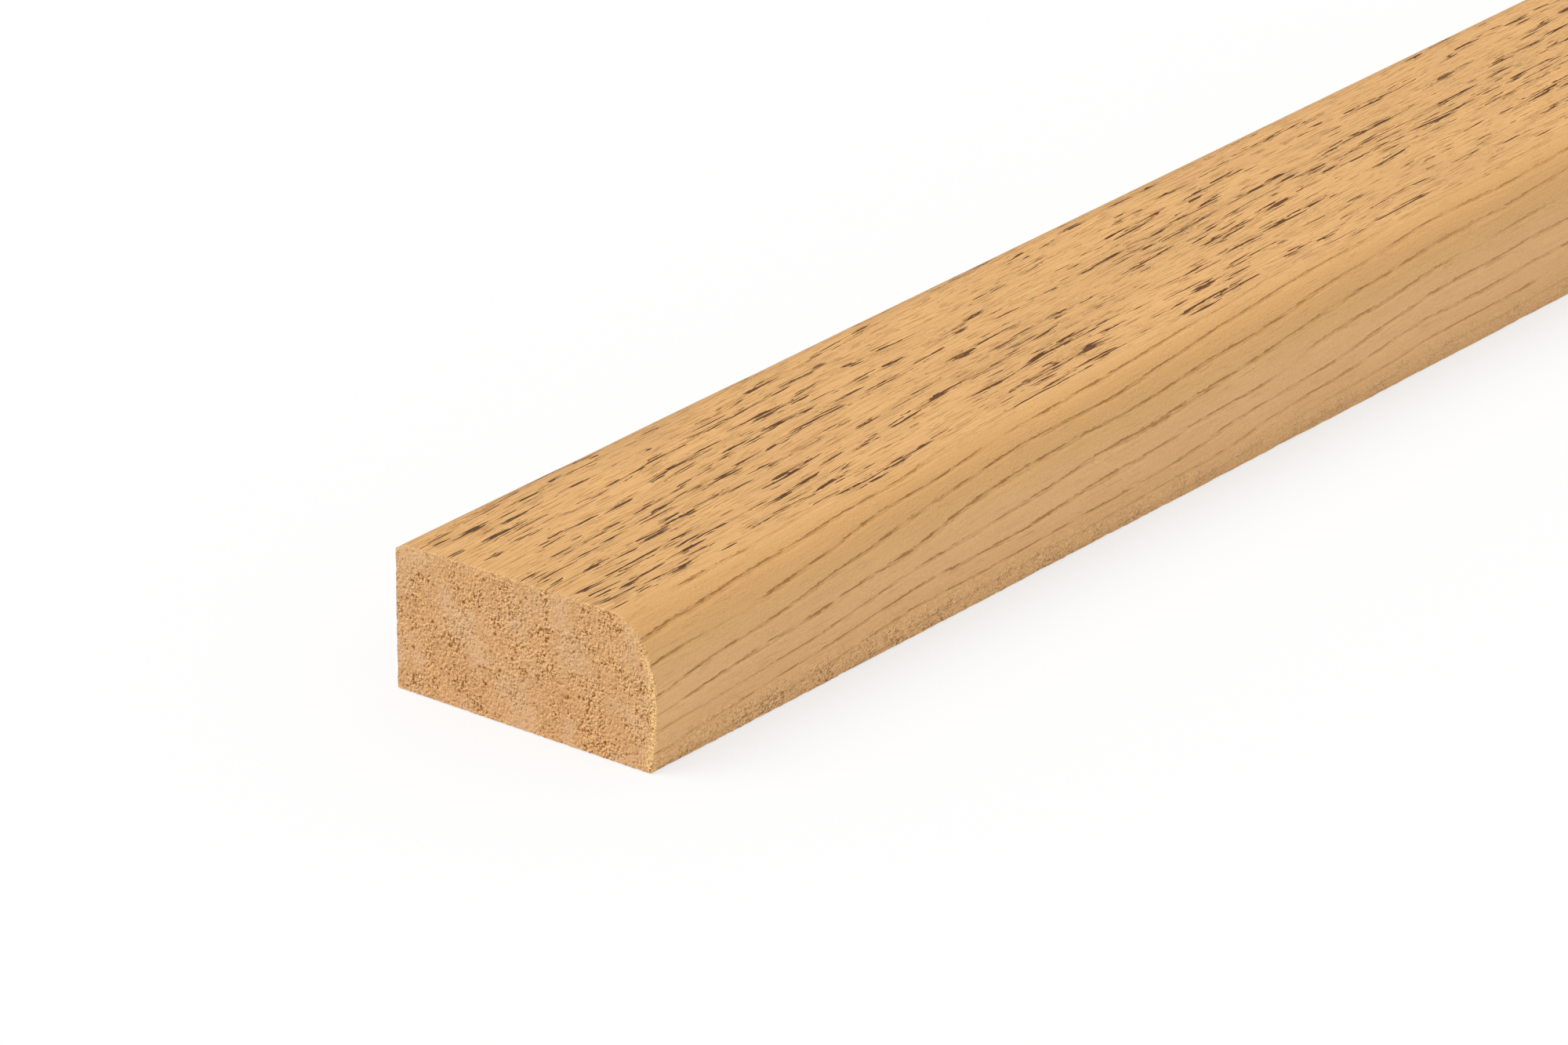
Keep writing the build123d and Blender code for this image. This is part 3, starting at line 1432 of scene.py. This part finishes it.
@dataclass(frozen=True)
class Studio:
    """A white room: a level floor, an even sky, two soft lamps and the photograph's camera.

    The camera is given by its heading and fall, and by where the sawn end's lower back corner falls in the
    picture: its pixels right of and above the middle, and its depth.
    """

    sky: float = 0.72
    lamps: tuple[Lamp, ...] = (
        Lamp("key_lamp", (-0.50, 0.38, 0.78), 1.55, 0.7),
        Lamp("front_lamp", (0.05, -0.85, 0.55), 0.03, 0.9),
    )
    floor_size: float = 40.0
    floor_drop: float = 0.1 * MM
    floor_colour: float = 0.90
    floor_roughness: float = 0.9
    floor_white: float = 0.70
    image_width: float = 2000.0
    focal_pixels: float = 13060.0
    sensor: float = 36.0
    heading: float = np.radians(51.33)
    fall: float = np.radians(23.74)
    corner: Triple = (-LENGTH / 2, WIDTH / 2, 0.0)
    corner_pixel: Pair = (-492.7, -210.2)
    corner_depth: float = 1.5268

    def shown_white(self, graph: Graph) -> Wire:
        """A mask for the background's white.

        Args:
            graph: the tree that it goes in.

        Returns:
            1 for rays that show the background: from the camera, in gloss, or through glass.
        """
        path = graph.add("ShaderNodeLightPath")
        shown = graph.wire(path, "Is Camera Ray").larger(graph.wire(path, "Is Glossy Ray"))
        return shown.larger(graph.wire(path, "Is Transmission Ray"))

    def light(self) -> None:
        """Makes the even sky and the two lamps."""
        world = bpy.data.worlds.new("white_room")
        bpy.context.scene.world = world
        world.use_nodes = True
        graph = Graph(world.node_tree)
        strength = Step(0.0, 1.0, self.sky, 1.0).draw(self.shown_white(graph))
        sky = graph.add("ShaderNodeBackground", {"Color": (1.0, 1.0, 1.0, 1.0), "Strength": strength})
        graph.add("ShaderNodeOutputWorld", {"Surface": graph.wire(sky)})
        for lamp in self.lamps:
            lamp.light()

    def floor(self) -> bpy.types.Object:
        """Makes the pale floor, which shows white and keeps the trim's shadow.

        Returns:
            The floor.
        """
        mesh = bpy.data.meshes.new("floor")
        half = self.floor_size / 2
        corners = [(x * half, y * half, -self.floor_drop) for x, y in ((-1, -1), (1, -1), (1, 1), (-1, 1))]
        mesh.from_pydata(corners, [], [(0, 1, 2, 3)])
        material, graph, shader = started("pale_floor", self.floor_roughness, 0.0)
        shader.inputs["Base Color"].default_value = (*(self.floor_colour,) * 3, 1.0)
        glow = graph.wire(graph.add("ShaderNodeEmission"))
        white = self.floor_white * self.shown_white(graph)
        mixed = graph.add("ShaderNodeMixShader", {0: white, 1: graph.wire(shader), 2: glow})
        graph.add("ShaderNodeOutputMaterial", {"Surface": graph.wire(mixed)})
        mesh.materials.append(material)
        floor = bpy.data.objects.new("floor", mesh)
        bpy.context.scene.collection.objects.link(floor)
        return floor

    def camera(self) -> None:
        """Stands the camera where the sawn end's lower back corner falls on its place in the picture."""
        level = np.cos(self.fall)
        forward = np.array([np.sin(self.heading) * level, np.cos(self.heading) * level, -np.sin(self.fall)])
        right = np.array([np.cos(self.heading), -np.sin(self.heading), 0.0])
        up = np.cross(right, forward)
        metre = self.corner_depth / self.focal_pixels
        place = np.array(self.corner) - forward * self.corner_depth
        place -= metre * (right * self.corner_pixel[0] + up * self.corner_pixel[1])
        data = bpy.data.cameras.new("camera")
        data.sensor_width = self.sensor
        data.lens = self.sensor * self.focal_pixels / self.image_width
        bpy.context.scene.camera = stood("camera", data, (right, up, -forward), place)


def main() -> None:
    logging.basicConfig(level=logging.INFO, format="%(name)s: %(message)s")
    bpy.context.scene.view_settings.view_transform = "Standard"
    trim = BullnoseTrim()
    piece = trim.build()
    trim.dress(piece)
    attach(piece, "root")
    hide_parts("bullnose_trim")
    faces = sum(len(p.vertices) - 2 for p in piece.data.polygons)
    LOG.info("%s: %d vertices, %d triangles", piece.name, len(piece.data.vertices), faces)
    studio = Studio()
    studio.light()
    floor = studio.floor()
    LOG.info("%s: stage", floor.name)
    studio.camera()


if __name__ == "__main__":
    main()
